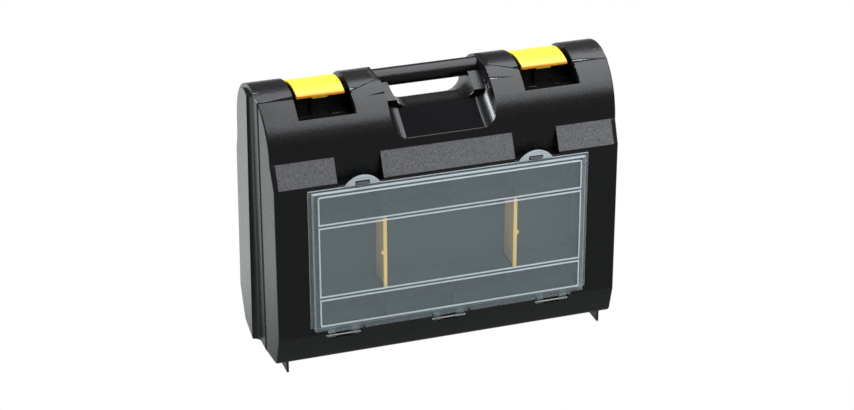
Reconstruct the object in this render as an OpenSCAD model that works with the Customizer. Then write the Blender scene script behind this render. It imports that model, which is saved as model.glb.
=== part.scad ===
// Hard tool case: two moulded shells hinged along the bottom, two lever latches on
// the rounded top, a moulded carrying bar, and a small-parts organiser with a clear
// lid in the front shell. Millimetres, +Z up, +X to the right, the front faces -Y.
// The feet stand on z = 0 and the whole case is centred in x and y.

/* [Case] */
// Width across the rim where the two shells meet
case_w = 420; // [380:1:500]
// Overall height from the feet to the top of the rounded top
case_h = 334.5; // [300:0.5:400]
// Depth of the front shell, from the split to its lower front face
front_depth = 51; // [45:0.5:70]
// Depth of the rear shell, from the split to its back face
rear_depth = 111; // [100:0.5:150]
// Wall thickness of both shells
wall = 3; // [2:0.1:4]
// Height of the feet under the shells
feet_h = 13; // [12:0.5:18]
// Gap between the two shells at the split
split_gap = 0.5; // [0.3:0.1:1]

/* [Rounded top] */
// Radius of the rounded top
barrel_r = 69; // [66:0.5:75]
// Distance from the split to the front of the rounded top
barrel_front = 38; // [34:0.5:42]

/* [Side steps] */
// How far the foot of the rear body stands out past the rim on each side
body_flare = 8.5; // [5:0.5:10]
// Distance from the split to the full width of the rear body
rim_w = 30; // [27:0.5:36]
// How much narrower the rear body is at its back face, on each side
rear_draft = 6.5; // [0:0.5:9]
// How much narrower the rear body is at its top, on each side
top_draft = 4; // [0:0.5:4.5]
// Distance of the rear body's sides below the top of the case
flare_drop = 8; // [4:0.5:14]
// How much narrower the front shell is at its front face, on each side
front_draft = 3.5; // [0:0.5:6]

/* [Latches] */
// Distance of each latch from the middle of the case
latch_x = 134.5; // [125:0.5:150]
// Width of the latch plate
latch_w = 56; // [40:0.5:60]
// Gap between the latch plate and each side of its well
latch_side_gap = 5.5; // [3:0.1:8]
// Thickness of the latch plate
latch_t = 2.6; // [2:0.1:4]
// Depth of the latch plate below the rounded top
latch_sink = 2.4; // [1.5:0.1:4]
// Depth of the finger space in front of the latches below the top of the case
finger_depth = 31.5; // [28:0.5:36]
// Radius of the latch pins
latch_pin_r = 1.5; // [1.2:0.1:2]

/* [Handle] */
// Half width of the hand opening
hand_x = 63; // [55:0.5:75]
// Radius between the floor and the ends of the hand opening
hand_fillet = 20; // [10:0.5:24]
// Half width of the tunnel under the bar
tunnel_x = 48.5; // [44:0.5:52]
// Radius between the floor and the ends of the tunnel
tunnel_r = 17; // [10:0.5:20]
// Radius of the carrying bar
bar_r = 10.7; // [9:0.1:12]
// Distance of the bar's centre behind the split
bar_y = 43.5; // [38:0.5:50]
// Depth of the bar's top below the rounded top
bar_drop = 3.5; // [2:0.5:8]
// Distance of the floor of the hand opening below the top of the case
hand_depth = 35; // [32:0.5:45]
// Depth the floor of the hand opening stays level behind the split
hand_flat = 28; // [20:0.5:34]

/* [Organiser] */
// Outer half width of the organiser tray
tray_x = 160.2; // [140:0.1:165]
// Distance of the bottom of the tray above the band at the foot of the front shell
tray_lift = 12.9; // [11:0.1:20]
// Distance of the top of the tray below the middle of the rounded top
tray_drop = 35.3; // [34:0.1:60]
// Depth of the compartments behind the lower front face
tray_depth = 30; // [20:0.5:34]
// How far the walls of the tray stand out past the lower front face
tray_rise = 4.2; // [3:0.1:5]
// Wall thickness of the tray
tray_wall = 2.2; // [1.6:0.1:3]
// Height of the bottom row of compartments
bottom_row = 36.8; // [30:0.1:45]
// Height of the top row of compartments
top_row = 38.2; // [30:0.1:45]
// Distance of the compartment walls and dividers from the middle
column_x = 79; // [60:0.5:90]
// Half width of the middle textured pad above the organiser
pad_in = 79; // [70:0.5:85]
// Width of the niche between the textured pads, for a snap tab
niche_w = 53.7; // [50:0.1:58]

/* [Clear lid] */
// Wall thickness of the clear lid
lid_t = 1.8; // [1.2:0.1:2.5]
// Gap between the tray walls and the lid
lid_gap = 0.5; // [0.3:0.1:1]
// Width of the lid's flange at the left, right and top
lid_flange = 4.3; // [3:0.1:8]
// Height of the raised beads on the lid
bead_h = 1.5; // [0.8:0.1:2]
// Distance of the snap tabs from the middle
tab_x = 104; // [100:0.5:110]
// Height of the snap tabs above the lid
tab_h = 11.7; // [10:0.1:18]
// Radius of the lid's hinge pins
lid_pin_r = 1.25; // [1:0.05:1.5]

/* [Case hinges] */
// Distance of the outer hinges from the middle
hinge_x = 130; // [100:1:160]
// Distance of the hinge axis below the shells
hinge_drop = 6; // [5.6:0.1:7]
// Outer radius of the hinge knuckles
knuckle_r = 4.5; // [4:0.1:5]
// Radius of the case hinge pins
hinge_pin_r = 2; // [1.5:0.1:2.5]

/* [Hidden] */
$fn = 96;

// Colours
shell_black = [0.10, 0.10, 0.11];
latch_yellow = [1.00, 0.87, 0.10];
steel = [0.72, 0.70, 0.69];
clear = [0.72, 0.77, 0.80];
divider_yellow = [0.90, 0.70, 0.36];

// Fits: turning pins, fixed pins, and parts that pass each other
run_fit = 0.06;
seat_fit = 0.03;
play = 0.4;
far = 600;

// Frame: the split plane lies behind the middle of the overall depth
bead_front = front_depth + tray_rise + lid_gap + lid_t + bead_h;
split_y = (bead_front - rear_depth) / 2;

// Rounded top
barrel_y = barrel_r - barrel_front;
barrel_z = case_h - barrel_r;
barrel_rear = barrel_y + barrel_r;

// Outline of the shells seen from the side
bottom_z = feet_h;
band_h = 38;
band_lean = 12;
band_top = bottom_z + band_h;
band_y = front_depth - band_lean;
band_angle = atan(band_lean / band_h);
toe_r = 8;
toe_y = -band_y + toe_r * tan((90 - band_angle) / 2);
toe_z = bottom_z + toe_r;
tray_z0 = band_top + tray_lift;
tray_z1 = barrel_z - tray_drop;
ledge_z = tray_z1 + 6.8;
pad_z0 = ledge_z + 2.6;
pad_z1 = barrel_z + 1.5;
rear_chamfer = 32;
rear_slope_z0 = barrel_z - 39.5;
rear_slope_z1 = barrel_z - 17.5;

// Sloped pads: the middle one ends at pad_in, the outer two begin at pad_out
pad_out = pad_in + niche_w;
niche_x = pad_in + niche_w / 2;

// Latches and their wells
well_w = latch_w + 2 * latch_side_gap;
well_front = 22;
well_floor_r = barrel_r - 9;
plate_r = barrel_r - latch_sink;
inner_r = plate_r - latch_t;
pivot_angle = 35;
pivot_r = plate_r - 4.6;
pivot_y = barrel_y + pivot_r * sin(pivot_angle);
pivot_z = barrel_z + pivot_r * cos(pivot_angle);
latch_knuckle_r = 4.5;
well_end_angle = pivot_angle + 5.4;
free_angle = 23.5;
finger_z = case_h - finger_depth;
free_y = barrel_y - plate_r * sin(free_angle);
tooth_y = free_y + 4;
tooth_t = 3;
tooth_gap = 0.7;
catch_y = tooth_y + tooth_t + 1.5;
catch_w = 20;
catch_t = 3;
catch_deep = catch_y + catch_t + 1.5;
catch_top = barrel_z + sqrt(pow(inner_r, 2) - pow(barrel_y - catch_y, 2)) - 7.1;

// Hand opening
hand_z = case_h - hand_depth;
front_slope = 31;
rear_slope = 24;
root_low = hand_z + 9.5;
root_y = 30;
root_depth = 60;
shoulder_w = 7;
shoulder_gap = 0.4;
bar_z = case_h - bar_drop - bar_r;
root_top = bar_z - 1;
ear_y = 15;
ear_x = latch_x - well_w / 2;

// Organiser tray
tray_floor_y = -(front_depth - tray_depth);
tray_front_y = -(front_depth + tray_rise);
row_z1 = tray_z0 + bottom_row;
row_z2 = tray_z1 - top_row;
rib_h = 1.5;
rib_t = 1.2;

// Clear lid
pan_x = tray_x + lid_gap + lid_t + 1.7;
pan_z0 = tray_z0 - lid_gap - lid_t - 3.6;
pan_z1 = tray_z1 + lid_gap + lid_t;
pan_front = tray_front_y - lid_gap - lid_t;
lid_back = -(front_depth + 0.2);
bead_t = 1.6;
bead_x = tray_x - 1.7;
bead_gap = 1.4;
apron_x = 150;
apron_z = pan_z0 - 3.1;
notch_w = 2.5;
tab_w = niche_w - 11.7;
tab_r = (pow(tab_w / 2, 2) + pow(tab_h, 2)) / (2 * tab_h);
lid_top = pan_z1 + lid_flange * 0.6;
flange_z = pan_z0 + 3.5;
nose_w = 15;
nose_z = 2.5;

// Lid hinge
lid_pin_y = -(front_depth - 3.7);
lid_pin_z = band_top - 5.2;
lid_knuckle_r = 2.4;
slot_w = 42;
slot_z0 = lid_pin_z - 2.9;
slot_z1 = pan_z0 + lid_t + 0.8;
tongue_w = 9;
tongue_in = 2;
slot_depth = 7;
lid_hinge_x = 128.5;

// Dividers
divider_t = 1.8;
divider_z0 = row_z1 + tray_wall / 2 + 0.3;
divider_z1 = row_z2 - tray_wall / 2 - 0.3;

// Case hinges
hinge_z = bottom_z - hinge_drop;
knuckle_arm = 8;
mid_knuckle = 20;
end_knuckle = 12;
hinge_w = mid_knuckle + 2 * end_knuckle + 2 * play;

// Feet
foot_x = case_w / 2 - 16.5;
foot_t = 2.6;

// ---------------------------------------------------------------- helpers

// Extrudes a side outline, drawn as (y, z), across the case
module across(w, x = 0) {
    translate([x - w / 2, 0, 0]) rotate([90, 0, 90]) linear_extrude(w) children();
}

// Box given by its limits
module box(x0, x1, y0, y1, z0, z1) {
    translate([x0, y0, z0]) cube([x1 - x0, y1 - y0, z1 - z0]);
}

// Cylinder along x, centred on x
module rod(r, w, x, y, z) {
    translate([x, y, z]) rotate([0, 90, 0]) cylinder(r = r, h = w, center = true);
}

module both_sides() {
    children();
    mirror([1, 0, 0]) children();
}

// ---------------------------------------------------------------- envelope

// Side outline of the closed case, with every surface moved in by i
module side_outline(i = 0) {
    translate([barrel_y, barrel_z]) circle(barrel_r - i, $fn = 180);
    translate([toe_y, toe_z]) circle(toe_r - i);
    polygon([
        [toe_y, bottom_z + i],
        [rear_depth - rear_chamfer, bottom_z + i],
        [rear_depth - i, bottom_z + rear_chamfer],
        [rear_depth - i, rear_slope_z0],
        [barrel_rear - i, rear_slope_z1],
        [barrel_rear - i, barrel_z],
        [-barrel_front + i, barrel_z],
        [-barrel_front + i, ledge_z - i],
        [-front_depth + i, ledge_z - i],
        [-front_depth + i, band_top],
        [toe_y - (toe_r - i) * cos(band_angle), toe_z - (toe_r - i) * sin(band_angle)]
    ]);
}

// Wedge of the textured pads seen from the side
module pad_outline(i = 0) {
    polygon([
        [-barrel_front + 6, pad_z1 - i],
        [-barrel_front + i, pad_z1 - i],
        [-front_depth + i, pad_z0 - i],
        [-front_depth + i, ledge_z - 8],
        [-barrel_front + 6, ledge_z - 8]
    ]);
}

// Outline of the case seen from above, with its sides moved in by i
module plan_outline(i = 0) {
    half = case_w / 2 - i;
    step_y = rim_w - body_flare;
    right = [
        [half - front_draft, -front_depth + i],
        [half, 0],
        [half, step_y],
        [half + 2 * body_flare, step_y],
        [half + 2 * body_flare, rear_depth - i]
    ];
    left = [for (n = [len(right) - 1:-1:0]) [-right[n][0], right[n][1]]];
    difference() {
        polygon(concat(right, left));
        for (s = [-1, 1])
            translate([s * (case_w / 2 + body_flare), step_y]) circle(body_flare + i);
    }
}

// Space inside the leaning right side of the rear body, moved in by i
module flare_side(i = 0) {
    translate([case_w / 2 + body_flare - i, rim_w, bottom_z])
        rotate([0, -atan(top_draft / (case_h - bottom_z)), atan(rear_draft / (rear_depth - rim_w))])
            box(-far, 0, -far, far, -far, far);
}

// Side outline of the rear body where it stands out past the rim
module flare_outline(i = 0) {
    r = barrel_r - flare_drop / 2;
    mid_z = case_h - flare_drop - r;
    translate([barrel_rear + 3 - r, mid_z]) circle(r - i, $fn = 180);
    square([far, mid_z]);
}

module envelope(i = 0) {
    difference() {
        intersection() {
            union() {
                across(far) side_outline(i);
                across(2 * (pad_in - i)) pad_outline(i);
                both_sides() across(far, pad_out + i + far / 2) pad_outline(i);
            }
            linear_extrude(far) plan_outline(i);
            flare_side(i);
            mirror([1, 0, 0]) flare_side(i);
        }
        both_sides() difference() {
            box(case_w / 2 - i, far, 0, far, 0, far);
            across(3 * far) flare_outline(i);
        }
    }
}

// ---------------------------------------------------------------- hand opening

// Slot seen from the front, with corners of radius r at its floor
module hand_slot(half, r) {
    translate([-half, r]) square([2 * half, far]);
    translate([r - half, 0]) square([2 * (half - r), far]);
    for (s = [-1, 1]) translate([s * (half - r), r]) circle(r);
}

// Space above the level middle and the two slopes of the floor, grown by i
module hand_runs(half, r, i) {
    for (run = [[0, front_slope], [0, 0], [hand_flat, -rear_slope]])
        translate([0, run[0], hand_z - i]) rotate([90 + run[1], 0, 0])
            linear_extrude(far, center = true) hand_slot(half + i, r * cos(run[1]));
}

// Hand opening with the roots of the bar left standing beside the tunnel, grown by i
module hand_space(i = 0) {
    difference() {
        hand_runs(hand_x, hand_fillet, i);
        difference() {
            across(far) polygon([
                [i, 0],
                [i, root_low - i],
                [root_y, root_top - i],
                [root_depth - i, root_top - i],
                [root_depth - i, 0]
            ]);
            hand_runs(tunnel_x, tunnel_r, i);
        }
    }
}

// Space above the sloped shoulders at the ends of the bar
module shoulders() {
    rise = bar_drop - shoulder_gap;
    x0 = hand_x + 2;
    x1 = x0 + 2 * shoulder_w;
    rotate([90, 0, 0]) linear_extrude(far, center = true) polygon([
        [-x1, case_h + rise],
        [-x0, case_h - rise],
        [x0, case_h - rise],
        [x1, case_h + rise],
        [x1, far],
        [-x1, far]
    ]);
}

// ---------------------------------------------------------------- latch wells

// Well under a latch seen from the side, grown by g
module well_outline(g = 0) {
    end = well_end_angle + g * 1.1;
    intersection() {
        difference() {
            translate([barrel_y, barrel_z]) circle(far / 2);
            translate([barrel_y, barrel_z]) circle(well_floor_r - g);
        }
        polygon([
            [barrel_y, barrel_z],
            [barrel_y + far * sin(end), barrel_z + far * cos(end)],
            [0, far],
            [0, barrel_z]
        ]);
    }
    translate([pivot_y, pivot_z]) circle(latch_knuckle_r + 1 + g);
    polygon([
        [-well_front - g, finger_z - g],
        [catch_deep + g, finger_z - g],
        [catch_deep + g, far],
        [-well_front - g, far]
    ]);
}

// Slot in the rear shell's rim that takes the front shell's catch
module catch_slot() {
    gap = 1;
    box(-catch_w / 2 - gap, catch_w / 2 + gap, -gap, catch_deep, finger_z - 3 * wall, far);
}

// Hooked tongue on the front shell, in front of the latch's tooth
module catch_tongue() {
    z0 = finger_z - catch_t;
    box(-catch_w / 2, catch_w / 2, -wall, catch_y + catch_t, z0, finger_z);
    box(-catch_w / 2, catch_w / 2, catch_y, catch_y + catch_t, z0, catch_top);
}

// ---------------------------------------------------------------- organiser

// Compartments of the tray, open at the front
module compartments() {
    out_y = tray_front_y - 5;
    inner_x = tray_x - tray_wall;
    half = tray_wall / 2;
    edges = [-inner_x, -column_x, 0, column_x, inner_x];
    for (row = [[tray_z0 + tray_wall, row_z1 - half], [row_z2 + half, tray_z1 - tray_wall]])
        for (n = [0:3]) {
            x0 = edges[n] + (n == 0 ? 0 : half);
            x1 = edges[n + 1] - (n == 3 ? 0 : half);
            box(x0, x1, out_y, tray_floor_y, row[0], row[1]);
        }
    difference() {
        box(-inner_x, inner_x, out_y, tray_floor_y, row_z1 + half, row_z2 - half);
        divider_ribs();
    }
}

// Pairs of low ribs that hold each divider by its ends
module divider_ribs() {
    near = divider_t / 2 + 0.3;
    both_sides() for (x = [column_x - near - rib_t, column_x + near]) {
        box(x, x + rib_t, -front_depth, tray_floor_y + 1, row_z1, row_z1 + tray_wall / 2 + rib_h);
        box(x, x + rib_t, -front_depth, tray_floor_y + 1, row_z2 - tray_wall / 2 - rib_h, row_z2);
    }
}

// Solid block that the compartments are cut from
module tray_block() {
    box(-tray_x, tray_x, tray_front_y, tray_floor_y + tray_wall, tray_z0, tray_z1);
}

// Slots and pin seats of the lid hinge, and the blocks behind them
module lid_slot(g = 0) {
    for (x = [-lid_hinge_x, 0, lid_hinge_x])
        box(x - slot_w / 2 - g, x + slot_w / 2 + g, -front_depth - 5,
            -front_depth + slot_depth + g, slot_z0 - g, slot_z1 + g);
}

module lid_pin_seats() {
    for (x = [-lid_hinge_x, 0, lid_hinge_x])
        rod(lid_pin_r + seat_fit, slot_w + 2 * wall, x, lid_pin_y, lid_pin_z);
}

// Noses that the lid's snap tabs click over
module lid_noses() {
    both_sides() box(tab_x - nose_w / 2, tab_x + nose_w / 2,
                     lid_back - 2.6, -barrel_front + 1, ledge_z - 1, ledge_z + nose_z);
}

// ---------------------------------------------------------------- both shells

// The closed case as one hollow body, before it is split
module case_body() {
    difference() {
        union() {
            envelope();
            tray_block();
            lid_noses();
        }
        difference() {
            envelope(wall);
            hand_space(wall);
            both_sides() across(well_w + 2 * wall, latch_x) well_outline(wall);
            tray_block();
            intersection() {
                lid_slot(wall);
                box(-far, far, -front_depth, 0, 0, far);
            }
        }
        hand_space();
        shoulders();
        both_sides() across(well_w, latch_x) well_outline();
        compartments();
        lid_slot();
        lid_pin_seats();
    }
}

// The corners of the front shell that reach back over the top beside the hand opening
module ears(g = 0) {
    intersection() {
        both_sides() linear_extrude(far) polygon([
            [hand_x - g * 2, -1],
            [ear_x + wall + g * 2, -1],
            [ear_x + g * 2, g / 2],
            [hand_x, ear_y + g],
            [hand_x - g * 2, ear_y + g]
        ]);
        across(far) polygon([
            [-2, hand_z],
            [g, hand_z],
            [ear_y + g, case_h - 2],
            [ear_y + g, far],
            [-2, far]
        ]);
    }
}

// Foot rail along y, mirrored to both sides
module foot_rail(y0, y1) {
    both_sides() box(foot_x - foot_t / 2, foot_x + foot_t / 2, y0, y1, 0, bottom_z + wall / 2);
}

// Knuckle of the case hinge with its arm up to the shell; side is -1 front, 1 rear
module knuckle(x, w, side, bore) {
    y0 = side < 0 ? -knuckle_arm : split_gap / 2;
    y1 = side < 0 ? -split_gap / 2 : knuckle_arm;
    difference() {
        union() {
            rod(knuckle_r, w, x, 0, hinge_z);
            box(x - w / 2, x + w / 2, y0, y1, hinge_z - 1, bottom_z + wall / 2);
        }
        rod(bore, w + 2, x, 0, hinge_z);
    }
}

// Lip inside the front shell's rim that fits into the rear shell
module rim_lip() {
    step = 1.6;
    gap = 0.4;
    difference() {
        union() {
            intersection() {
                difference() {
                    envelope(wall - 0.2);
                    envelope(wall + gap + step);
                }
                box(-far, far, -6, -split_gap / 2, 0, far);
            }
            intersection() {
                difference() {
                    envelope(wall + gap);
                    envelope(wall + gap + step);
                }
                box(-far, far, -1, 4, 0, far);
            }
        }
        box(-hand_x - wall - 1, hand_x + wall + 1, -far, far, hand_z - 30, far);
        both_sides() box(ear_x - wall - 1, latch_x + well_w / 2 + wall + 1,
                         -far, far, finger_z - 8, far);
        both_sides() box(hand_x, ear_x, -far, far, hand_z - 4, far);
    }
}

// ---------------------------------------------------------------- nodes

module rear_shell() {
    color(shell_black) difference() {
        union() {
            difference() {
                intersection() {
                    case_body();
                    box(-far, far, split_gap / 2, far, 0, far);
                }
                ears(split_gap);
                both_sides() translate([latch_x, 0, 0]) catch_slot();
            }
            rod(bar_r, 2 * hand_x + wall, 0, bar_y, bar_z);
            foot_rail(22, 74);
            for (x = [-hinge_x, 0, hinge_x], s = [-1, 1])
                knuckle(x + s * (mid_knuckle / 2 + play + end_knuckle / 2), end_knuckle, 1,
                        hinge_pin_r + seat_fit);
        }
        both_sides() rod(latch_pin_r + seat_fit, well_w + 2 * wall + 1, latch_x, pivot_y, pivot_z);
    }
}

module front_shell() {
    color(shell_black) union() {
        intersection() {
            case_body();
            union() {
                box(-far, far, -far, -split_gap / 2, 0, far);
                ears();
            }
        }
        rim_lip();
        both_sides() translate([latch_x, 0, 0]) catch_tongue();
        foot_rail(-band_y + 2, -10);
        for (x = [-hinge_x, 0, hinge_x])
            knuckle(x, mid_knuckle, -1, hinge_pin_r + run_fit);
    }
}

// Curved lever plate with its pivot knuckle, tooth and side lugs
module latch() {
    lug_r = 1.6;
    lug_w = 5;
    lug_y = tooth_y + tooth_t / 2;
    lug_z = barrel_z + sqrt(pow(inner_r - 1.2, 2) - pow(barrel_y - lug_y, 2));
    color(latch_yellow) difference() {
        union() {
            across(latch_w) difference() {
                intersection() {
                    translate([barrel_y, barrel_z]) circle(plate_r, $fn = 180);
                    polygon([
                        [barrel_y, barrel_z],
                        [barrel_y - far * sin(free_angle), barrel_z + far * cos(free_angle)],
                        [barrel_y + far * sin(pivot_angle), barrel_z + far * cos(pivot_angle)]
                    ]);
                }
                translate([barrel_y, barrel_z]) circle(inner_r, $fn = 180);
            }
            rod(latch_knuckle_r, latch_w, 0, pivot_y, pivot_z);
            box(-catch_w / 2 + 1, catch_w / 2 - 1, tooth_y, tooth_y + tooth_t,
                catch_top + tooth_gap, lug_z + lug_r);
            both_sides() rod(lug_r, lug_w, latch_w / 2 + 0.3, lug_y, lug_z);
            rod(lug_r, latch_w, 0, free_y + 2.2,
                barrel_z + (inner_r - 0.4) * cos(free_angle - 2));
        }
        rod(latch_pin_r + run_fit, latch_w + 2, 0, pivot_y, pivot_z);
    }
}

module left_latch() {
    translate([-latch_x, 0, 0]) latch();
}

module right_latch() {
    translate([latch_x, 0, 0]) latch();
}

module latch_pin(x) {
    color(steel) rod(latch_pin_r, well_w + 2 * wall - 0.4, x, pivot_y, pivot_z);
}

module hinge_pin(x) {
    color(steel) rod(hinge_pin_r, hinge_w, x, 0, hinge_z);
}

module lid_pin(x) {
    color(steel) rod(lid_pin_r, slot_w + 2 * wall - 0.4, x, lid_pin_y, lid_pin_z);
}

// Rectangular bead on the face of the lid
module bead(z0, z1) {
    x = bead_x - bead_t;
    difference() {
        box(-bead_x, bead_x, pan_front - bead_h, pan_front + lid_t / 2, z0, z1);
        box(-x, x, pan_front - far, pan_front + far, z0 + bead_t, z1 - bead_t);
    }
}

// Apron under the lid's face, notched at both ends of each hinge slot
module lid_apron() {
    difference() {
        box(-apron_x, apron_x, pan_front, pan_front + lid_t, apron_z, pan_z0 + lid_t);
        for (x = [-lid_hinge_x, 0, lid_hinge_x], s = [-1, 1])
            translate([x + s * (slot_w + notch_w) / 2, 0, 0])
                box(-notch_w / 2, notch_w / 2, -far, 0, 0, apron_z + 3);
    }
}

// Round snap tab above the lid
module snap_tab() {
    intersection() {
        translate([0, lid_back, lid_top + tab_h - tab_r]) rotate([90, 0, 0])
            cylinder(r = tab_r, h = lid_t);
        box(-far, far, -far, far, lid_top - 3, far);
    }
}

// Hooked tongue that reaches back into a slot and wraps round the hinge pin there
module lid_tongue() {
    half = lid_t / 2;
    rod(lid_knuckle_r, tongue_w, 0, lid_pin_y, lid_pin_z);
    box(-tongue_w / 2, tongue_w / 2, lid_pin_y - half, lid_pin_y + half, lid_pin_z,
        pan_z0 + lid_t);
    box(-tongue_w / 2, tongue_w / 2, lid_back - half, lid_pin_y + half, pan_z0, pan_z0 + lid_t);
}

module organiser_lid() {
    color(clear) difference() {
        union() {
            difference() {
                union() {
                    box(-pan_x, pan_x, pan_front, lid_back, pan_z0, pan_z1);
                    box(-pan_x - lid_flange, pan_x + lid_flange, lid_back - lid_t, lid_back,
                        flange_z, lid_top);
                }
                box(-pan_x + lid_t, pan_x - lid_t, pan_front + lid_t, lid_back + 1,
                    pan_z0 + lid_t, pan_z1 - lid_t);
            }
            bead(tray_z0 + bead_gap / 2, row_z1 - bead_gap);
            bead(row_z1 + bead_gap, row_z2 - bead_gap);
            bead(row_z2 + bead_gap, tray_z1 - bead_gap / 2);
            lid_apron();
            both_sides() translate([tab_x, 0, 0]) snap_tab();
            for (x = [-lid_hinge_x, 0, lid_hinge_x], s = [-1, 1])
                translate([x + s * ((slot_w - tongue_w) / 2 - tongue_in), 0, 0]) lid_tongue();
        }
        for (x = [-lid_hinge_x, 0, lid_hinge_x])
            rod(lid_pin_r + run_fit, slot_w + 1, x, lid_pin_y, lid_pin_z);
        both_sides() box(tab_x - nose_w / 2 - 1, tab_x + nose_w / 2 + 1,
                         -far, far, ledge_z - 2, ledge_z + nose_z + 1);
    }
}

// Removable divider: a thin web with a wider front edge and a half-round grip
module divider() {
    web_front = -front_depth - 1.2;
    edge_w = 4.4;
    edge_t = 2.2;
    grip_z = (divider_z0 + divider_z1) / 2;
    color(divider_yellow) union() {
        box(-divider_t / 2, divider_t / 2, web_front, tray_floor_y - 0.3, divider_z0, divider_z1);
        box(-edge_w / 2, edge_w / 2, web_front - edge_t, web_front, divider_z0, divider_z1);
        translate([edge_w / 2, web_front, grip_z]) rotate([90, 0, 0])
            cylinder(r = 2.6, h = edge_t);
    }
}

module left_divider() {
    mirror([1, 0, 0]) right_divider();
}

module right_divider() {
    translate([column_x, 0, 0]) divider();
}

// Moves a node from the split plane's frame to the case's own frame
module placed() {
    translate([0, split_y, 0]) children();
}

placed() rear_shell();
placed() front_shell();
placed() left_latch();
placed() right_latch();
placed() latch_pin(-latch_x);  // left_latch_pin
placed() latch_pin(latch_x);  // right_latch_pin
placed() hinge_pin(-hinge_x);  // left_hinge_pin
placed() hinge_pin(0);  // middle_hinge_pin
placed() hinge_pin(hinge_x);  // right_hinge_pin
placed() organiser_lid();
placed() lid_pin(-lid_hinge_x);  // left_lid_pin
placed() lid_pin(0);  // middle_lid_pin
placed() lid_pin(lid_hinge_x);  // right_lid_pin
placed() left_divider();
placed() right_divider();
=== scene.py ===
# %% [markdown]
# # Hard tool case
# A hard tool case is two shells of black moulded plastic, as a rule polypropylene, that close
# along a rim. The front one carries a small-parts tray under a clear lid, and two yellow lever
# latches hold the shells shut over a rounded top. This lesson takes the moulded parts that the
# drawing gives, rounds their edges as a mould maker would, and gives each plastic its own
# surface.

# %% Load the drawing
import bmesh
import bpy
import math
from mathutils import Matrix, Vector
from mathutils.bvhtree import BVHTree


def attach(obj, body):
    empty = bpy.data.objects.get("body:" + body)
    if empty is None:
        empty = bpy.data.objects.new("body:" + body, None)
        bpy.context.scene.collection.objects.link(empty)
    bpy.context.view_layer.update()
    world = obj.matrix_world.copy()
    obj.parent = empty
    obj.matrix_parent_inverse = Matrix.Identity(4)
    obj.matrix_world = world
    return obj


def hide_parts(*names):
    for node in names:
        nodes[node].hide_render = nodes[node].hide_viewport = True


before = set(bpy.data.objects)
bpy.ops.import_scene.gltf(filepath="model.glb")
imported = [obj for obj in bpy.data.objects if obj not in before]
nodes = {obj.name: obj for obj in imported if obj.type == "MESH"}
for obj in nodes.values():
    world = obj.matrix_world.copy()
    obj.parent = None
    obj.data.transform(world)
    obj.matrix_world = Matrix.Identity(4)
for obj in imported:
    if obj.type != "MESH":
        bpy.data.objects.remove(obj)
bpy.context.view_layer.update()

# %% [markdown]
# The camera stands as for a catalogue picture: a little to the left, well above the case and
# far away, so that the long lens keeps the upright edges almost parallel. It is placed by angle
# and distance from a point in the middle of the case, because those are the easiest numbers to
# change and to check by eye.

# %% Camera
MM = 0.001
AIM = Vector((-10.8, -26.0, 170.8)) * MM
AZIMUTH, ELEVATION, ROLL = (math.radians(a) for a in (-18.30, 26.02, -0.14))
DISTANCE = 2.687
SENSOR_WIDTH, LENS = 36.0, 97.2
FARTHEST_SEEN = 50.0
back = Vector((math.sin(AZIMUTH) * math.cos(ELEVATION),
               -math.cos(AZIMUTH) * math.cos(ELEVATION), math.sin(ELEVATION)))
camera = bpy.data.objects.new("camera", bpy.data.cameras.new("camera"))
bpy.context.scene.collection.objects.link(camera)
camera.data.sensor_width = SENSOR_WIDTH
camera.data.lens = LENS
camera.data.clip_end = FARTHEST_SEEN
turn = back.to_track_quat("Z", "Y").to_matrix().to_4x4()
camera_place = Matrix.Translation(AIM + back * DISTANCE)
camera.matrix_world = camera_place @ turn @ Matrix.Rotation(ROLL, 4, "Z")
bpy.context.scene.camera = camera
print("camera at", tuple(round(v, 3) for v in camera.location))

# %% [markdown]
# Black plastic shows little but what it mirrors, so the studio is built first. The floor is
# pale for the light it throws back on the case. The camera itself sees through it to the white
# world, because the case is laid on its back to be opened, and here the open front shell swings
# below the floor and would be hidden. What the case mirrors of the floor is a sweep that gets
# brighter towards the back, as a lit backdrop does.


# %% Floor
def stage_plane(name, size, z):
    bm = bmesh.new()
    bmesh.ops.create_grid(bm, x_segments=1, y_segments=1, size=size / 2)
    bmesh.ops.translate(bm, verts=bm.verts, vec=(0, 0, z))
    mesh = bpy.data.meshes.new(name)
    bm.to_mesh(mesh)
    bm.free()
    piece = bpy.data.objects.new(name, mesh)
    bpy.context.scene.collection.objects.link(piece)
    return piece


def node_tree(name):
    material = bpy.data.materials.new(name)
    material.use_nodes = True
    return material, material.node_tree.nodes, material.node_tree.links


FLOOR_SIZE = 12.0
floor = stage_plane("floor", FLOOR_SIZE, 0.0)
pale, pn, pl = node_tree("pale_floor")
pn["Principled BSDF"].inputs["Base Color"].default_value = (0.82, 0.82, 0.82, 1)
pn["Principled BSDF"].inputs["Roughness"].default_value = 0.9
floor.data.materials.append(pale)
print("floor", FLOOR_SIZE, "m across")

# %% The sweep that the case mirrors
SWEEP_START, SWEEP_END = -0.15, 0.25
SWEEP_DIM, SWEEP_BRIGHT = 0.25, 1.15
sweep_coords = pn.new("ShaderNodeTexCoord")
sweep_parts = pn.new("ShaderNodeSeparateXYZ")
sweep = pn.new("ShaderNodeMapRange")
sweep.interpolation_type = "SMOOTHSTEP"
sweep.inputs["From Min"].default_value = SWEEP_START
sweep.inputs["From Max"].default_value = SWEEP_END
sweep.inputs["To Min"].default_value = SWEEP_DIM
sweep.inputs["To Max"].default_value = SWEEP_BRIGHT
pl.new(sweep_coords.outputs["Object"], sweep_parts.inputs["Vector"])
pl.new(sweep_parts.outputs["Y"], sweep.inputs["Value"])
mirrored = pn.new("ShaderNodeEmission")
mirrored.inputs["Color"].default_value = (0.94, 0.99, 1.0, 1)
pl.new(sweep.outputs["Result"], mirrored.inputs["Strength"])
print("sweep from", SWEEP_DIM, "to", SWEEP_BRIGHT)

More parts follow.
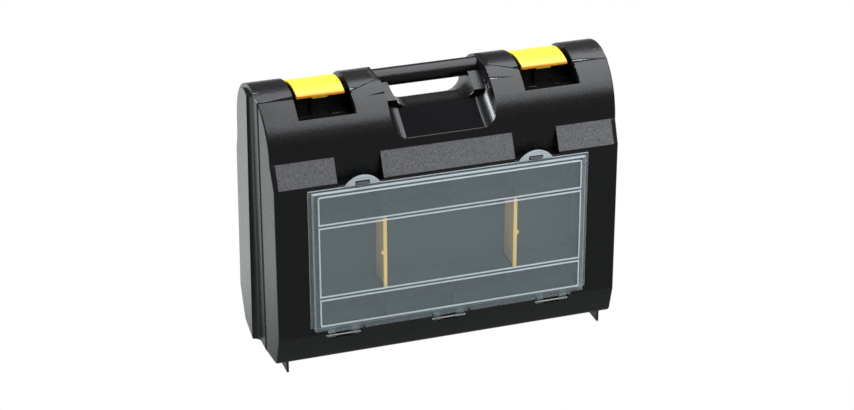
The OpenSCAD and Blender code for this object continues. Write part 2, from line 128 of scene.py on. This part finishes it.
# %% Which ray sees which floor
light_path = pn.new("ShaderNodeLightPath")
see_through = pn.new("ShaderNodeBsdfTransparent")
lit_or_mirrored = pn.new("ShaderNodeMixShader")
pl.new(light_path.outputs["Is Glossy Ray"], lit_or_mirrored.inputs["Fac"])
pl.new(pn["Principled BSDF"].outputs["BSDF"], lit_or_mirrored.inputs[1])
pl.new(mirrored.outputs["Emission"], lit_or_mirrored.inputs[2])
seen = pn.new("ShaderNodeMixShader")
pl.new(light_path.outputs["Is Camera Ray"], seen.inputs["Fac"])
pl.new(lit_or_mirrored.outputs["Shader"], seen.inputs[1])
pl.new(see_through.outputs["BSDF"], seen.inputs[2])
pl.new(seen.outputs["Shader"], pn["Material Output"].inputs["Surface"])
print("floor nodes:", len(pn))

# %% [markdown]
# The world is the room around the studio. It is a dim, even grey for the light it gives, so
# that the lamps do the modelling, and white only where the camera looks straight at it. A
# brighter room would grey the black plastic on every side.

# %% World
ROOM_GREY = (0.20, 0.20, 0.205, 1)
world = bpy.data.worlds.new("studio")
bpy.context.scene.world = world
world.use_nodes = True
wn, wl = world.node_tree.nodes, world.node_tree.links
wn["Background"].inputs["Color"].default_value = ROOM_GREY
white_room = wn.new("ShaderNodeBackground")
white_room.inputs["Color"].default_value = (1, 1, 1, 1)
world_path = wn.new("ShaderNodeLightPath")
world_mix = wn.new("ShaderNodeMixShader")
wl.new(world_path.outputs["Is Camera Ray"], world_mix.inputs["Fac"])
wl.new(wn["Background"].outputs["Background"], world_mix.inputs[1])
wl.new(white_room.outputs["Background"], world_mix.inputs[2])
wl.new(world_mix.outputs["Shader"], wn["World Output"].inputs["Surface"])
print("world:", world.name, "grey", ROOM_GREY[:3])

# %% [markdown]
# Four soft boxes light the case, slightly blue as daylight lamps are. A long one overhead
# draws the bright band along the rounded top, two behind it edge the sides, and a weak one in
# front lifts the shadows. The front one isn't mirrored, or it would show as a square in the
# lid.


# %% Lamps
def softbox(name, place, aim, size_x, size_y, watts):
    lamp = bpy.data.lights.new(name, "AREA")
    lamp.shape = "RECTANGLE"
    lamp.size, lamp.size_y, lamp.energy = size_x, size_y, watts
    lamp.color = (0.93, 0.96, 1.0)
    holder = bpy.data.objects.new(name, lamp)
    bpy.context.scene.collection.objects.link(holder)
    holder.location = place
    holder.rotation_euler = (Vector(place) - Vector(aim)).to_track_quat("Z", "Y").to_euler()
    holder.visible_camera = False
    print(name, watts, "W")
    return holder


middle = (0, 0, 0.2)
softbox("top_softbox", (1.0, -0.5, 2.1), (1.0, -0.5, 0), 1.8, 3.6, 82)
softbox("rim_softbox_left", (-1.62, 0.92, 1.35), middle, 0.8, 0.8, 60)
softbox("rim_softbox_right", (1.6, 1.6, 0.45), middle, 0.8, 0.8, 15)
fill = softbox("front_fill", (1.1, -1.3, 0.8), middle, 0.8, 0.8, 8)
fill.visible_glossy = False

# %% [markdown]
# Every edge of a moulding has a small radius, because a sharp corner in the steel mould would
# not fill or last. That radius is what catches the light on black plastic. The drawing's
# parts are loose triangles, so each is copied and merged into whole faces first. Long edges
# between faces that are almost level are dissolved too, as a bevel beside them would cross
# them and tear the skin.

# %% Merged copies of the drawing's parts
SPLIT_Y = -26.0
SAME_POINT = 1e-6
LEVEL_ANGLE = 0.1
FAINT_ANGLE, FAINT_LENGTH = 0.95, 20


def in_mm(point):
    """A place in millimetres, with y counted from the split between the shells."""
    return point.x / MM, point.y / MM - SPLIT_Y, point.z / MM


def merged_copy(node):
    bm = bmesh.new()
    bm.from_mesh(nodes[node].data)
    bmesh.ops.remove_doubles(bm, verts=bm.verts, dist=SAME_POINT)
    bmesh.ops.dissolve_limit(bm, angle_limit=math.radians(LEVEL_ANGLE), verts=bm.verts,
                             edges=bm.edges)
    faint = [e for e in bm.edges
             if len(e.link_faces) == 2 and e.calc_length() > FAINT_LENGTH * MM
             and math.degrees(e.calc_face_angle(0.0)) < FAINT_ANGLE]
    bmesh.ops.dissolve_edges(bm, edges=faint, use_verts=False)
    return bm


def skin_of(node):
    bm = merged_copy(node)
    tree = BVHTree.FromBMesh(bm)
    print(node, "merged into", len(bm.faces), "faces")
    bm.free()
    return tree


skins = [skin_of("rear_shell"), skin_of("front_shell")]

# %% [markdown]
# A Bevel modifier could round every edge by one width. Here it rounds only the edges that
# carry a weight, each by its own radius: an edge inside the closed case, which nobody sees or
# touches, stays as it is. A ray cast from the edge tells whether it lies in the open air.

# %% Weights for the rounded edges
WIDEST = 5.0
CREASE = 24
RAY_LIFT = 0.2


def faces_open_air(edge, normal):
    start = (edge.verts[0].co + edge.verts[1].co) / 2 + normal * RAY_LIFT * MM
    return all(skin.ray_cast(start, normal)[0] is None for skin in skins)


def weigh_edges(bm, radius_at, shallow=None):
    """Gives each crease in the open air the weight of its radius, and keeps the others sharp."""
    weight = bm.edges.layers.float.new("bevel_weight_edge")
    count = 0
    for edge in bm.edges:
        turn_by = math.degrees(edge.calc_face_angle(0.0))
        edge.smooth = turn_by < CREASE
        middle_mm = in_mm((edge.verts[0].co + edge.verts[1].co) / 2)
        if turn_by < CREASE and not (shallow and shallow(*middle_mm, turn_by)):
            continue
        if not edge.is_convex:
            continue
        normal = (edge.link_faces[0].normal + edge.link_faces[1].normal).normalized()
        radius = radius_at(*middle_mm)
        if radius and faces_open_air(edge, normal):
            edge[weight] = radius / WIDEST
            edge.smooth = True
            count += 1
    print("rounded edges:", count, "of", len(bm.edges))


# %% [markdown]
# Each finished moulding rides on the body of the drawing's part that it stands for, so that it
# moves as that part does. The weighted normals come after the bevel: they keep the large faces
# flat and let only the rounding turn the light.


# %% From a mesh to a piece
def settle(name, bm, materials, body, stands_for, segments=3):
    """Turns a bmesh into a piece that rides on a body and stands for a part of the drawing."""
    mesh = bpy.data.meshes.new(name)
    bm.to_mesh(mesh)
    bm.free()
    mesh.polygons.foreach_set("use_smooth", [True] * len(mesh.polygons))
    for material in materials:
        mesh.materials.append(material)
    piece = bpy.data.objects.new(name, mesh)
    bpy.context.scene.collection.objects.link(piece)
    bevel = piece.modifiers.new("moulded_edges", "BEVEL")
    bevel.limit_method = "WEIGHT"
    bevel.width = WIDEST * MM
    bevel.segments = segments
    bevel.profile = 0.5
    bevel.use_clamp_overlap = False
    bevel.material = -1
    shade = piece.modifiers.new("even_shading", "WEIGHTED_NORMAL")
    shade.keep_sharp = True
    shade.weight = 50
    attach(piece, body)
    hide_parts(stands_for)
    print(name, len(mesh.polygons), "faces")
    return piece


# %% [markdown]
# A mould's surface is etched or eroded, and the plastic copies it. So every plastic here is one
# recipe: a fine noise that is at once a bump, a slight change of colour and a slight change of
# gloss. Noise on object coordinates has no seams and needs no unwrapping.

# %% Grain
NOISE_DETAIL = 2.0


def grain(n, l, scale, depth):
    """Fine grain on a surface: noise on object coordinates, as a bump."""
    coords = n.new("ShaderNodeTexCoord")
    noise = n.new("ShaderNodeTexNoise")
    noise.inputs["Scale"].default_value = scale
    noise.inputs["Detail"].default_value = NOISE_DETAIL
    bump = n.new("ShaderNodeBump")
    bump.inputs["Distance"].default_value = depth
    l.new(coords.outputs["Object"], noise.inputs["Vector"])
    l.new(noise.outputs["Fac"], bump.inputs["Height"])
    l.new(bump.outputs["Normal"], n["Principled BSDF"].inputs["Normal"])
    return coords, noise


# %% Colour and gloss from the grain
NOISE_LOW, NOISE_HIGH = 0.3, 0.7


def spread(n, l, source, low, high, target_socket):
    """Maps the middle of a 0..1 pattern to a range of values on a socket."""
    ramp = n.new("ShaderNodeMapRange")
    ramp.inputs["From Min"].default_value = NOISE_LOW
    ramp.inputs["From Max"].default_value = NOISE_HIGH
    ramp.inputs["To Min"].default_value = low
    ramp.inputs["To Max"].default_value = high
    l.new(source, ramp.inputs["Value"])
    l.new(ramp.outputs["Result"], target_socket)


def two_tone(n, l, source, dark, light, target_socket):
    blend = n.new("ShaderNodeMix")
    blend.data_type = "RGBA"
    blend.inputs["A"].default_value = (*dark, 1)
    blend.inputs["B"].default_value = (*light, 1)
    l.new(source, blend.inputs["Factor"])
    l.new(blend.outputs["Result"], target_socket)


# %% A plastic
ROUGH_STEP = 0.05


def plastic(name, dark, light, rough, specular, scale, depth):
    material, n, l = node_tree(name)
    shader = n["Principled BSDF"]
    shader.inputs["Specular IOR Level"].default_value = specular
    _, noise = grain(n, l, scale, depth)
    two_tone(n, l, noise.outputs["Fac"], dark, light, shader.inputs["Base Color"])
    spread(n, l, noise.outputs["Fac"], rough - ROUGH_STEP, rough + ROUGH_STEP,
           shader.inputs["Roughness"])
    print(name, "roughness", rough)
    return material


# %% [markdown]
# The shells' plastic has almost no colour of its own, a soft gloss, and a grain that breaks the
# gloss up. The three sloped pads were eroded much more coarsely, so they scatter the light and
# look grey beside the rest. In gaps and recesses the same black gets little light, and a darker,
# duller and less glossy copy of it is put there as painted shade, at small cost.

# %% Shell plastics
SHELL_GRAIN = 520
shell_plastic = plastic("shell_plastic", (0.0022, 0.0022, 0.0025), (0.0040, 0.0040, 0.0044),
                        0.30, 0.5, SHELL_GRAIN, 0.00010)
pad_texture = plastic("pad_texture", (0.010, 0.010, 0.012), (0.215, 0.215, 0.222),
                      0.75, 0.3, SHELL_GRAIN, 0.0004)
# Painted shade: a darker, duller copy of the black for the seam, gaps and recesses.
painted_shade_plastic = plastic("painted_shade_plastic", (0.0015, 0.0015, 0.0018), (0.0035, 0.0035, 0.0040),
                         0.5, 0.04, SHELL_GRAIN, 0.00006)

# %% [markdown]
# The rear shell is the deep one. Its sides step out past the rim, and its top is the rounded
# barrel with the carrying bar. The radius is largest on its back and its foot, which take the
# knocks. It is nothing on the barrel's narrow facets, at the latch wells and at the hand
# opening, where a bevel would be wider than the facets it runs across.

# %% Radii of the rear shell
FINE = 0.35
FEET_TOP = 12.5
KNUCKLE_TOP = 16
SIDE_X = 203
BARREL_START = 255


def rear_radius(x, y, z):
    """The radius in millimetres of an edge whose middle is at x, y, z."""
    on_knuckles = z < KNUCKLE_TOP and y < 9
    if z < FEET_TOP or on_knuckles:
        return FINE
    if abs(x) > SIDE_X:
        on_barrel_end = z > 290 and abs(x) < 214
        if on_barrel_end:
            return 1.2 if y < 12 else 0
        if z > BARREL_START:
            return 0
        return 2.2 if y > 45 else 0.45
    by_latch_well = 101 < abs(x) < 168 and 1 < y < 40 and z > 300
    by_hand_opening = abs(x) < 80 and z > BARREL_START
    if by_latch_well or by_hand_opening:
        return 0
    if y > 90 or z < 47:
        return 2.5
    return 0.8


print("rear corner radius", rear_radius(0, 100, 100), "mm")

# %% [markdown]
# Where the shells meet there is a dark line, wider than the gap itself, because both rims are
# rounded. The sides are cut along that line and the strip beside it is given painted shade. A
# bisect keeps the edge of the strip straight, which choosing whole faces would not.

# %% Rear shell
STRIP = 1.6


def shade_seam(bm, edge_y, index):
    """Gives the outer skin beside the seam, up to edge_y, the plastic at index as painted shade.
    """
    sides = [f for f in bm.faces
             if abs(f.normal.x) > 0.98 and abs(f.calc_center_median().x) > 0.205]
    corners = list({v for f in sides for v in f.verts})
    edges = list({e for f in sides for e in f.edges})
    bmesh.ops.bisect_plane(bm, geom=sides + corners + edges, dist=SAME_POINT,
                           plane_co=(0, (SPLIT_Y + edge_y) * MM, 0), plane_no=(0, 1, 0))
    for f in bm.faces:
        x, y, z = in_mm(f.calc_center_median())
        if abs(x) > 208 and abs(f.normal.x) > 0.98 and abs(y) < abs(edge_y) and z < 300:
            f.material_index = index


rear = merged_copy("rear_shell")
rear_plastics = [shell_plastic, painted_shade_plastic]
# Painted shade on the strip beside the seam.
shade_seam(rear, STRIP, rear_plastics.index(painted_shade_plastic))
for f in rear.faces:
    x, y, z = in_mm(f.calc_center_median())
    # Rim faces that look forward, into the seam gap and the hand opening, get painted shade.
    on_rim = f.normal.y < -0.5 and y < 1 and (abs(x) < 68 or z < 285)
    if on_rim:
        f.material_index = rear_plastics.index(painted_shade_plastic)
weigh_edges(rear, rear_radius)
settle("rear_shell_moulding", rear, rear_plastics, "rear", "rear_shell")

# %% [markdown]
# The front shell is shallow, and the organiser tray is moulded into it. Seen through the lid,
# the tray looks grey and the tops of its ribs look paler still. The tray gets a grey copy of the
# black as painted light and the rib tops a paler one as a painted highlight, so that the shell
# around them can stay black.

# %% Plastics and radii of the front shell
# Painted light on the tray, and a painted highlight on the fronts of its ribs.
tray_painted_light = plastic("tray_painted_light", (0.025, 0.034, 0.038), (0.030, 0.040, 0.044),
                       0.6, 0.3, SHELL_GRAIN, 0.000005)
tray_rib_painted_highlight = plastic("tray_rib_painted_highlight", (0.10, 0.12, 0.12), (0.13, 0.15, 0.15),
                    0.4, 0.5, SHELL_GRAIN, 0.00002)


def front_radius(x, y, z):
    """The radius in millimetres of an edge whose middle is at x, y, z."""
    on_knuckles = z < KNUCKLE_TOP and y > -9
    if abs(y) < 2 or z < FEET_TOP or on_knuckles:
        return FINE
    by_tray = abs(x) < 161 and y < -20 and 60 < z < 236
    if by_tray:
        return FINE
    on_front_corner = abs(x) > 195 and y < -30 and 60 < z < BARREL_START
    if on_front_corner:
        return 2.4
    if abs(x) > SIDE_X:
        return 0.5 if y > -1 else 1.8
    if z < 25:
        return 1.8
    by_hand_opening = 40 < abs(x) < 72 and z > 278.5
    if by_hand_opening:
        return 0
    on_hand_recess = abs(x) < 62 and -45 < y < -12 and 262 < z < 300
    if on_hand_recess:
        return 1.8
    return 0.8 if z > 300 else 0.6


def pad_or_band(x, y, z, turn_by):
    """Shallow creases that are rounded all the same: round the pads and along the foot."""
    return turn_by > 10 and y < -36 and (z < 53 or z > 236)


print("front corner radius", front_radius(200, -40, 100), "mm")

# %% [markdown]
# The pads end a little inside the corners, so the sloped face is cut there first. Then each
# face gets its plastic by where it lies and which way it looks: a test on all of a face's
# corners keeps the big front face, whose middle is inside the tray, out of the tray's painted
# light.

# %% Plastics on the front shell's faces
PAD_EDGE = 201.0
PAD_NORMAL = Vector((0, -0.903, 0.4286))
front_plastics = [shell_plastic, pad_texture, painted_shade_plastic, tray_painted_light, tray_rib_painted_highlight]


def on_pad(face):
    x, y, z = in_mm(face.calc_center_median())
    return face.normal.dot(PAD_NORMAL) > 0.999 and y < -38 and 230 < z < 270


def in_tray(x, y, z):
    return abs(x) < 160 and 63 < z < 231 and y < -17


front = merged_copy("front_shell")
for side in (-1, 1):
    pads = [f for f in front.faces if on_pad(f)]
    ring = list({e for f in pads for e in f.edges})
    corners = list({v for f in pads for v in f.verts})
    bmesh.ops.bisect_plane(front, geom=pads + ring + corners, dist=SAME_POINT,
                           plane_co=(side * PAD_EDGE * MM, 0, 0), plane_no=(side, 0, 0))
for f in front.faces:
    x, y, z = in_mm(f.calc_center_median())
    in_hand_recess = abs(x) < 62 and -42 < y < 0 and z > 262
    slopes_up = 0.5 < f.normal.z < 0.99 and abs(f.normal.x) < 0.05
    on_nose = 90 < abs(x) < 118 and y < -50.5 and 235 < z < 241
    finish = shell_plastic
    if on_pad(f) and abs(x) < PAD_EDGE:
        finish = pad_texture
    # The hand recess's upward slopes get painted shade.
    elif in_hand_recess and slopes_up:
        finish = painted_shade_plastic
    # The tray gets painted light and the fronts of its ribs a painted highlight.
    elif all(in_tray(*in_mm(v.co)) for v in f.verts):
        finish = tray_rib_painted_highlight if f.normal.y < -0.9 and y < -45 else tray_painted_light
    elif on_nose:
        finish = pad_texture
    f.material_index = front_plastics.index(finish)
coarse = front_plastics.index(pad_texture)
print("coarse faces", sum(f.material_index == coarse for f in front.faces))

# %% [markdown]
# The front shell's rim is set back from the split, most at the sides, where the real rims are
# rounded most. That shows the seam as a shadow. The drawing's own gap is half a millimetre all
# round, which would hardly show from here.

# %% Front shell
SEAM_GAP, SIDE_GAP = 0.6, 3.6
for v in front.verts:
    x, y, z = in_mm(v.co)
    if -0.3 < y < -0.2 and z > KNUCKLE_TOP and (abs(x) > 67 or z < 285):
        v.co.y -= (SIDE_GAP if abs(x) > 208 and z < 285 else SEAM_GAP) * MM
# Painted shade on the strip beside the set-back rim.
shade_seam(front, -SIDE_GAP - STRIP, front_plastics.index(painted_shade_plastic))
weigh_edges(front, front_radius, shallow=pad_or_band)
settle("front_shell_moulding", front, front_plastics, "front", "front_shell")

# %% [markdown]
# The latches, the shells and the lid all turn on plain steel wire. A pin is a true cylinder in
# the drawing, so it is kept as it is and only gets the metal.


# %% Steel pins
def assign(name, material):
    mesh = nodes[name].data
    mesh.materials.clear()
    mesh.materials.append(material)


FINE_GRAIN = 900
steel = plastic("pin_steel", (0.55, 0.53, 0.51), (0.65, 0.63, 0.61), 0.3, 0.5, FINE_GRAIN,
                0.00001)
steel.node_tree.nodes["Principled BSDF"].inputs["Metallic"].default_value = 1.0
pins = [name for name in nodes if "pin" in name]
for name in pins:
    assign(name, steel)
print("steel pins:", len(pins))

# %% [markdown]
# The latches are smooth yellow plastic, thin enough for light to soak into them, which a little
# subsurface colour shows. Their front lip looks orange, as the edge of a thin yellow plate in
# shade does above a dark well. One blend along the piece's depth paints that orange on as
# painted shade.


# %% Latch plastic
def along(n, l, coords, axis, start, end):
    """0 at start and 1 at end, in metres along one axis of the piece."""
    parts = n.new("ShaderNodeSeparateXYZ")
    ramp = n.new("ShaderNodeMapRange")
    ramp.interpolation_type = "SMOOTHSTEP"
    ramp.inputs["From Min"].default_value = start
    ramp.inputs["From Max"].default_value = end
    l.new(coords.outputs["Object"], parts.inputs["Vector"])
    l.new(parts.outputs[axis], ramp.inputs["Value"])
    return ramp.outputs["Result"]


# Painted shade: the front lip is blended towards orange.
LIP_FRONT, LIP_BACK = -0.0212, -0.0150
LIP_PAINTED_SHADE = (1.0, 0.40, 0.02, 1)
yellow, yn, yl = node_tree("latch_plastic")
yshader = yn["Principled BSDF"]
ycoords, ynoise = grain(yn, yl, FINE_GRAIN, 0.00001)
lip = yn.new("ShaderNodeMix")
lip.data_type = "RGBA"
lip.inputs["A"].default_value = LIP_PAINTED_SHADE
yl.new(along(yn, yl, ycoords, "Y", LIP_FRONT, LIP_BACK), lip.inputs["Factor"])
two_tone(yn, yl, ynoise.outputs["Fac"], (0.93, 0.76, 0.045), (0.96, 0.82, 0.06),
         lip.inputs["B"])
yl.new(lip.outputs["Result"], yshader.inputs["Base Color"])
yshader.inputs["Roughness"].default_value = 0.32
yshader.inputs["Subsurface Weight"].default_value = 0.3
yshader.inputs["Subsurface Radius"].default_value = (0.006, 0.0025, 0.0004)
yshader.inputs["Subsurface Scale"].default_value = 1.0
print("lip blend", round((LIP_BACK - LIP_FRONT) / MM, 1), "mm long")

# %% [markdown]
# A latch is a curved plate that turns on a pin, with a tooth under its free edge. The drawing's
# latch has lugs that reach past the plate to its pin. They would show as yellow ears in the
# black well, so the visible piece is cut off at the plate's width and the cuts are filled. The
# tooth lies in shade under the plate, and the shells' black plastic is put on it as painted
# shade.

# %% Latches
LATCH_X, LATCH_HALF = 134.5, 28.0


def latch_radius(x, y, z):
    """The plate's edges are rounder in front than behind, where it runs into the pin."""
    return 0.7 if y < 60 else FINE


for side, name in ((-1, "left_latch"), (1, "right_latch")):
    latch = merged_copy(name)
    for way in (-1, 1):
        bmesh.ops.bisect_plane(
            latch, geom=latch.verts[:] + latch.edges[:] + latch.faces[:], dist=SAME_POINT,
            plane_co=((side * LATCH_X + way * LATCH_HALF) * MM, 0, 0), plane_no=(way, 0, 0),
            clear_outer=True)
        rim = [e for e in latch.edges if e.is_boundary]
        bmesh.ops.holes_fill(latch, edges=rim)
    bmesh.ops.recalc_face_normals(latch, faces=latch.faces)
    print(name, "open edges", sum(e.is_boundary for e in latch.edges))
    for f in latch.faces:
        x, y, z = in_mm(f.calc_center_median())
        # The tooth gets the shells' black as painted shade.
        on_tooth = abs(x - side * LATCH_X) < 20 and y < 14 and z < 322.5
        if on_tooth:
            f.material_index = 1
    weigh_edges(latch, latch_radius)
    settle(name + "_moulding", latch, [yellow, shell_plastic],
           "latch_" + name.split("_")[0], name)

# %% [markdown]
# Two loose dividers slide into ribs in the tray's middle row. They are thin satin plates with
# rounded edges, and two segments are enough for so small a radius.

# %% Dividers
divider_plastic = plastic("divider_plastic", (0.95, 0.62, 0.13), (1.0, 0.70, 0.18),
                          0.4, 0.5, FINE_GRAIN, 0.00001)
for name in ("left_divider", "right_divider"):
    divider = merged_copy(name)
    weigh_edges(divider, lambda x, y, z: 0.4)
    settle(name + "_moulding", divider, [divider_plastic], "front", name, segments=2)

# %% [markdown]
# The lid is one clear, slightly frosted moulding. Glass-like refraction would need many bounces
# and turn the tray behind it to noise, so the plastic is mixed with plain transparency instead:
# almost clear on the panel; on the beads and edges a whiter, more opaque copy is a painted
# highlight for the light that gathers there, and the snap tabs get one in between.


# %% Lid plastics
def clear_plastic(name, dark, light, rough, scale, depth, alpha):
    material = plastic(name, dark, light, rough, 0.5, scale, depth)
    material.node_tree.nodes["Principled BSDF"].inputs["Alpha"].default_value = alpha
    return material


clear = clear_plastic("lid_plastic", (0.42, 0.50, 0.52), (0.46, 0.54, 0.56),
                      0.15, 240, 0.0000005, 0.135)
# Painted highlight: a whiter, more opaque copy for the beads and edge-on walls.
bead_highlight_paint = clear_plastic("lid_bead_painted_highlight", (0.80, 0.88, 0.90), (0.88, 0.95, 0.97),
                           0.2, 700, 0.000005, 0.55)
tab_clear = clear_plastic("lid_tab_plastic", (0.72, 0.80, 0.82), (0.78, 0.86, 0.88),
                          0.2, 700, 0.000005, 0.34)

# %% [markdown]
# The beads are the raised ribs that stiffen the lid. Their short edges turn the corners, so they
# get a larger radius than the long ones, and the largest at the lid's own four corners. The lid
# is cut level with the foot of the snap tabs, so that the tabs can have their own plastic.

# %% Lid
BEAD_BACK = -57.6
LID_TOP = 235.15
INNER_BEAD, BEAD, CORNER_BEAD = 1.3, 1.35, 2.8


def lid_radius(x, y, z):
    """No rounding at the hinge, where the tongues run in their slots."""
    return 0.0 if z < 52 else 0.4


lid = merged_copy("organiser_lid")
bmesh.ops.bisect_plane(lid, geom=lid.verts[:] + lid.edges[:] + lid.faces[:], dist=SAME_POINT,
                       plane_co=(0, 0, LID_TOP * MM), plane_no=(0, 0, 1))
for f in lid.faces:
    x, y, z = in_mm(f.calc_center_median())
    on_tab = z > LID_TOP
    if y < BEAD_BACK or on_tab or (abs(f.normal.y) < 0.5 and z > 60):
        f.material_index = 2 if on_tab and abs(f.normal.y) > 0.5 else 1
weigh_edges(lid, lid_radius)
weight = lid.edges.layers.float["bevel_weight_edge"]
for edge in lid.edges:
    ends = [in_mm(v.co) for v in edge.verts]
    across_a_bead = abs(ends[0][1] - ends[1][1]) > 1
    if min(e[1] for e in ends) < BEAD_BACK and across_a_bead:
        far_corner = not 80 < ends[0][2] < 215
        outer = CORNER_BEAD if far_corner else BEAD
        edge[weight] = (outer if edge.is_convex else INNER_BEAD) / WIDEST
        edge.smooth = True
settle("lid_moulding", lid, [clear, bead_highlight_paint, tab_clear], "lid", "organiser_lid",
       segments=2)

# %% [markdown]
# Rounding and cutting may only take plastic away from the drawing's parts. Last, the Standard
# view shows colours about as they are written.

# %% Finish
bpy.context.scene.view_settings.view_transform = "Standard"
